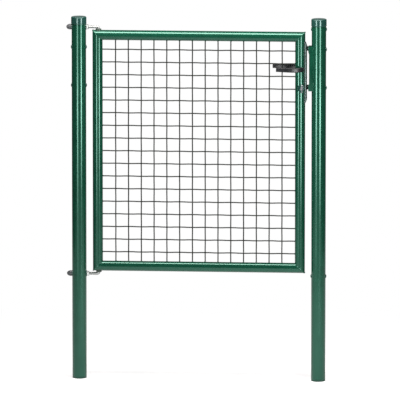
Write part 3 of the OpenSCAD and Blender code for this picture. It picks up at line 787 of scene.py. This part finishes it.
def ovalSurround(way):
    # an oval escutcheon over the cylinder: superellipses carried along Y from inside the tube to a
    # rounded outer edge, then across its face to a smaller mouth and down into it
    tip, e, lip = frameR + surround["rise"], surround["edge"], surround["lip"]
    q = np.linspace(0, np.pi / 2, 6)
    out = np.concatenate([[surround["root"]], tip - e + e * np.sin(q),
                          [tip, tip - lip, tip - surround["depth"]]])
    drawn = np.concatenate([[0], surround["taper"] + e * (1 - np.cos(q))])
    mouth = np.array([lip, 0, 0])
    counts = [len(drawn), len(mouth)]
    x = np.repeat([lockX + surround["shift"], lockX + surround["mouthShift"]], counts)
    z = np.repeat([keyZ - surround["drop"], keyZ - surround["mouthDrop"]], counts)
    wide = np.concatenate([surround["halfWide"] - drawn, surround["mouthWide"] + mouth])
    high = np.concatenate([surround["halfHigh"] - drawn, surround["mouthHigh"] + mouth])
    return carried(np.stack([x, way * out, z], axis=-1), [1, 0, 0], [0, 0, 1], wide, high,
                   surround["power"], surround["sides"])


addPiece("key_cylinder_surrounds", joined([ovalSurround(-1), ovalSurround(1)]),
         "leaf", capPlastic, (), 30)
print("stage 8: lock made")

handleZ = sum(boxOf("spindle")[i][2] for i in (0, 1)) / 2
rose = {"root": 10.0, "edge": 1.2, "sides": 64}
for node, way in (("handle_rose_front", -1), ("handle_rose_back", 1)):
    # a plain ring with a rounded outer edge, turned about the spindle
    low, high = boxOf(node)
    r, root = (high[0] - low[0]) / 2, rose["root"]
    reach = abs(low[1]) if way < 0 else high[1]
    profile = outline([(0, root), (r, root), (r, reach), (0, reach)], [0, rose["edge"]])
    addPiece(node + "_ring", turned(profile, (lockX, 0, handleZ), (0, way, 0), rose["sides"]),
             "leaf", blackPlastic, [node])

lever = {"neck": 8.0, "neckFrom": 15.0, "bend": 24.0, "bendAlong": 66.0, "rootHigh": 10.0,
         "tipHigh": 7.5, "halfDeep": 5.5, "flareLong": 75.0, "flarePast": 10.0, "tipRound": 1.6,
         "corner": 6.0, "cornerFrom": 0.2, "sides": 40}


def addLever(node, name, way, flare, lift, liftLong):
    # a rounded section carried from the rose out along the neck, round a quarter bend and along
    # the grip, which flares outwards on an S-curve that is cut off at the tip and lifts on
    # another: its half height goes from neck to root on an S-curve and to the tip with the square
    # of the way there, its corners get squarer past the bend, and the last rings close on a
    # quarter circle
    low, high = boxOf(node)
    reach = (abs(low[1]) if way < 0 else high[1]) - lever["halfDeep"] - flare
    tip = lockX - low[0]
    bend, along, cut = lever["bend"], lever["bendAlong"], lever["tipRound"]
    neck = np.linspace(lever["neckFrom"], reach - bend, 8)[:-1]
    a = np.linspace(0, np.pi / 2, 24)
    grip = np.linspace(along, tip - cut, 20)[1:]
    q = np.linspace(0, np.pi / 2, 8)[1:]
    beyond = len(grip) + len(q)
    out = np.concatenate([neck, reach - bend + bend * np.sin(a), np.full(beyond, reach)])
    run = np.concatenate([0 * neck, along * (1 - np.cos(a)), grip, tip - cut + cut * np.sin(q)])
    turn = np.arctan2(along * np.sin(a), bend * np.cos(a))
    turn = np.concatenate([0 * neck, turn, np.full(beyond, np.pi / 2)])
    shrink = np.concatenate([np.zeros(len(run) - len(q)), cut * (1 - np.cos(q))])
    start, end = tip - lever["flareLong"], tip + lever["flarePast"]
    out = out + flare * smooth(start, end, run) / smooth(start, end, tip)
    t = np.clip(run / tip, 0, 1) ** 2
    bent = smooth(0, np.pi / 2, turn)
    high = lever["neck"] + (lever["rootHigh"] - lever["neck"]) * bent
    high = high + (lever["tipHigh"] - lever["rootHigh"]) * t
    deep = lever["neck"] + (lever["halfDeep"] - lever["neck"]) * bent
    power = 2 + (lever["corner"] - 2) * smooth(lever["cornerFrom"], np.pi / 2, turn)
    height = handleZ + lift * smooth(0, liftLong, run)
    path = np.stack([lockX - run, way * out, height], axis=-1)
    side = np.stack([np.cos(turn), way * np.sin(turn), 0 * turn], axis=-1)
    addPiece(name, carried(path, side, [0, 0, 1], deep - shrink, high - shrink, power,
                           lever["sides"]), "lever", blackPlastic, [node], 50)


# the back lever is splayed further than the front one, and lifts sooner
addLever("lever_front", "lever_front_moulded", -1, flare=1.5, lift=2.0, liftLong=105)
addLever("lever_back", "lever_back_moulded", 1, flare=10.3, lift=3.0, liftLong=45)

for node in ("hinge_nut_outer_top", "hinge_nut_outer_bottom", "lock_case", "spindle"):
    # the frame's own solids that stay, hidden under the domes and in the stile: zinc plated
    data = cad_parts[node].data
    data.materials.clear()
    data.materials.append(zinc)
print("stage 9: handles made")

# the floor's edges in metres from the foot of the hinge post, how pale its paper is, and how far
# from its middle it turns plain white to the camera and stops glowing in gloss
floor = {"left": -3.0, "right": 4.0, "front": -6.5, "back": 13.0, "middle": (0.5, -0.5, 0),
         "paper": 0.74, "nearGlow": 0.56, "plain": (0.8, 2.2), "glossGlow": 0.3,
         "glossFall": (2.5, 5.5)}


def addFloor():
    # a pale sheet that keeps a soft shadow near the gate: further off the camera sees a plain
    # white, and gloss sees a glow that dies away, so that it does not burn out the wires
    l, r, f, b = (floor[k] for k in ("left", "right", "front", "back"))
    mesh = bpy.data.meshes.new("floor")
    mesh.from_pydata([(l, f, 0), (r, f, 0), (r, b, 0), (l, b, 0)], [], [(0, 1, 2, 3)])
    material = bpy.data.materials.new("paleFloorPaper")
    material.use_nodes = True
    tree = material.node_tree
    tree.nodes.clear()
    rays = addNode(tree, "LightPath")
    mirrored = addNode(tree, "Math", {"operation": "ADD"},
                       {0: rays.outputs["Is Glossy Ray"], 1: rays.outputs["Is Transmission Ray"]})
    place = addNode(tree, "TexCoord").outputs["Object"]
    apart = addNode(tree, "VectorMath", {"operation": "DISTANCE", 1: floor["middle"]},
                    {0: place})
    near, far = floor["plain"]
    rise = addNode(tree, "MapRange",
                   {"interpolation_type": "SMOOTHSTEP", "From Min": near, "From Max": far},
                   {"Value": apart.outputs["Value"]})
    plain = addNode(tree, "Math", {"operation": "MULTIPLY"},
                    {0: rays.outputs["Is Camera Ray"], 1: rise})
    full, none = floor["glossFall"]
    fall = addNode(tree, "MapRange",
                   {"interpolation_type": "SMOOTHSTEP", "From Min": full, "From Max": none,
                    "To Min": floor["glossGlow"], "To Max": 0}, {"Value": apart.outputs["Value"]})
    inGloss = addNode(tree, "Math", {"operation": "MULTIPLY"}, {0: mirrored, 1: fall})
    level = addNode(tree, "Math", {"operation": "MULTIPLY_ADD", 1: floor["nearGlow"]},
                    {0: rays.outputs["Is Camera Ray"], 2: inGloss})
    paper = addNode(tree, "BsdfDiffuse", {"Color": (*(floor["paper"],) * 3, 1)})
    glow = addNode(tree, "Emission", {"Color": (1, 1, 1, 1)}, {"Strength": level})
    both = addNode(tree, "AddShader", links={0: paper, 1: glow})
    white = addNode(tree, "Emission", {"Color": (1, 1, 1, 1), "Strength": 1.0})
    seen = addNode(tree, "MixShader", links={0: plain, 1: both, 2: white})
    addNode(tree, "OutputMaterial", links={"Surface": seen})
    mesh.materials.append(material)
    sheet = bpy.data.objects.new("floor", mesh)
    scene.collection.objects.link(sheet)


# how bright the room is to soft light, and to gloss: dim, and paler straight behind the gate
room = {"soft": 0.25, "behind": (0.9, 0.99), "gloss": (0.05, 0.3)}


def addWorld():
    # white to the camera, an even grey for soft light, and dark in gloss but for behind the gate
    world = bpy.data.worlds.new("studio")
    scene.world = world
    world.use_nodes = True
    tree = world.node_tree
    tree.nodes.clear()
    rays = addNode(tree, "LightPath")
    direction = addNode(tree, "SeparateXYZ",
                        links={0: addNode(tree, "TexCoord").outputs["Generated"]})
    start, end = room["behind"]
    dim, bright = room["gloss"]
    behind = addNode(tree, "MapRange",
                     {"From Min": start, "From Max": end, "To Min": dim, "To Max": bright},
                     {"Value": direction.outputs["Y"]})
    soft = addNode(tree, "Background", {"Color": (1, 1, 1, 1), "Strength": room["soft"]})
    gloss = addNode(tree, "Background", {"Color": (1, 1, 1, 1)}, {"Strength": behind})
    white = addNode(tree, "Background", {"Color": (1, 1, 1, 1), "Strength": 1.0})
    lit = addNode(tree, "MixShader", links={0: rays.outputs["Is Glossy Ray"], 1: soft, 2: gloss})
    seen = addNode(tree, "MixShader", links={0: rays.outputs["Is Camera Ray"], 1: lit, 2: white})
    addNode(tree, "OutputWorld", links={"Surface": seen})


# the two strips' light over their height, from the foot at 0 to the head at 1: it rises between
# the first two heights from the first level to the second, and falls between the last two to
# the third
rightFade = {"heights": (0.17, 0.48, 0.5, 0.58), "levels": (0.04, 1.0, 0.55)}
leftFade = {"heights": (0.17, 0.48, 0.5, 0.58), "levels": (0.1, 1.0, 0.55)}
lamps = {
    "leftStrip": {"place": (-0.67, -2.35, 0.83), "aim": (1.3, 0, 0.83), "size": (0.9, 1.64),
                  "power": 17.5, "spread": 90, "fade": leftFade},
    "rightStrip": {"place": (1.98, -2.1, 0.83), "aim": (0.5, 0, 0.83), "size": (0.75, 1.64),
                   "power": 66, "fade": rightFade},
    "overhead": {"place": (0.5, -0.35, 2.4), "aim": (0.5, -0.3, 0), "size": (2.2, 0.55),
                 "power": 56, "tone": (1, 0.92, 0.91)},
}


def fadedOver(light, fade):
    # two ramps over the lamp's own height, multiplied: up from its foot, then down to its head
    light.use_nodes = True
    tree = light.node_tree
    tree.nodes.clear()
    place = addNode(tree, "SeparateXYZ",
                    links={0: addNode(tree, "NewGeometry").outputs["Parametric"]})
    a, b, c, d = fade["heights"]
    foot, full, head = fade["levels"]
    up = addNode(tree, "MapRange",
                 {"From Min": a, "From Max": b, "To Min": foot, "To Max": full},
                 {"Value": place.outputs["Y"]})
    down = addNode(tree, "MapRange",
                   {"From Min": c, "From Max": d, "To Min": full, "To Max": head},
                   {"Value": place.outputs["Y"]})
    both = addNode(tree, "Math", {"operation": "MULTIPLY"}, {0: up, 1: down})
    glow = addNode(tree, "Emission", {"Color": (1, 1, 1, 1)}, {"Strength": both})
    addNode(tree, "OutputLight", links={"Surface": glow})


def addLamp(name, setting):
    # a soft box that points from its place to its aim, hidden from the camera
    light = bpy.data.lights.new(name, "AREA")
    light.shape = "RECTANGLE"
    light.size, light.size_y = setting["size"]
    light.energy = setting["power"]
    light.color = setting.get("tone", (1, 1, 1))
    light.spread = math.radians(setting.get("spread", 180))
    if "fade" in setting:
        fadedOver(light, setting["fade"])
    lamp = bpy.data.objects.new(name, light)
    lamp.location = setting["place"]
    way = np.array(setting["aim"]) - np.array(setting["place"])
    flat = math.hypot(way[0], way[1])
    lamp.rotation_euler = (math.atan2(flat, -way[2]), 0, math.atan2(-way[0], way[1]))
    lamp.visible_camera = False
    scene.collection.objects.link(lamp)


# metres, millimetres of lens, and degrees that it looks down and turns left
view = {"place": (2.9389, -34.4837, 6.6519), "down": 9.673, "left": 4.037, "lens": 757.3,
        "sensor": 36, "clipEnd": 300}


def addCamera():
    # a long lens far off, turned slightly left and looking slightly down
    data = bpy.data.cameras.new("camera")
    data.sensor_width = view["sensor"]
    data.lens = view["lens"]
    data.clip_end = view["clipEnd"]
    camera = bpy.data.objects.new("camera", data)
    camera.location = view["place"]
    camera.rotation_euler = (math.radians(90 - view["down"]), 0, math.radians(view["left"]))
    scene.collection.objects.link(camera)
    scene.camera = camera


addFloor()
addWorld()
for name, setting in lamps.items():
    addLamp(name, setting)
addCamera()
scene.view_settings.view_transform = "Standard"
print("stage 10: studio set")
